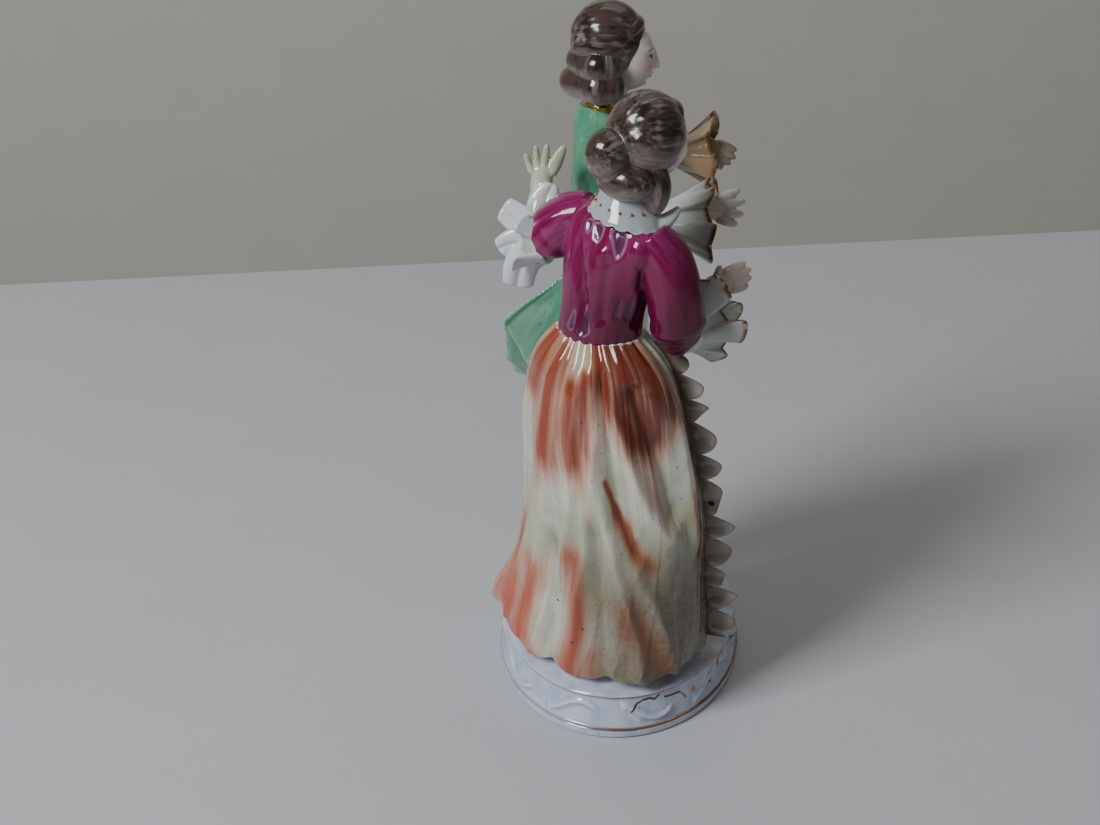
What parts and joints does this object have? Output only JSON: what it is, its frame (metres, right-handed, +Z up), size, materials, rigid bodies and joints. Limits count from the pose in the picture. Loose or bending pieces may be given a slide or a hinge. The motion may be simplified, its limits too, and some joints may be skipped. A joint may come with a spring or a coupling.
{
  "type": "courting couple figurine",
  "caption": "Glazed porcelain group of a lady in a full skirt and a gentleman in a tailed coat, standing on one low oval plinth with gilt lines.",
  "frame": {"origin": "middle of the plinth's underside, on the plane it stands on", "axes": "+Z up; X along the plinth's length with the lady at -X and the gentleman at +X; -Y to the group's front"},
  "size_m": [0.154, 0.107, 0.283],
  "materials": {
    "porcelain": "hand-painted colours and gilt lines under a high gloss"
  },
  "bodies": {
    "root": {"courting_couple_figurine": "porcelain"}
  },
  "joints": []
}
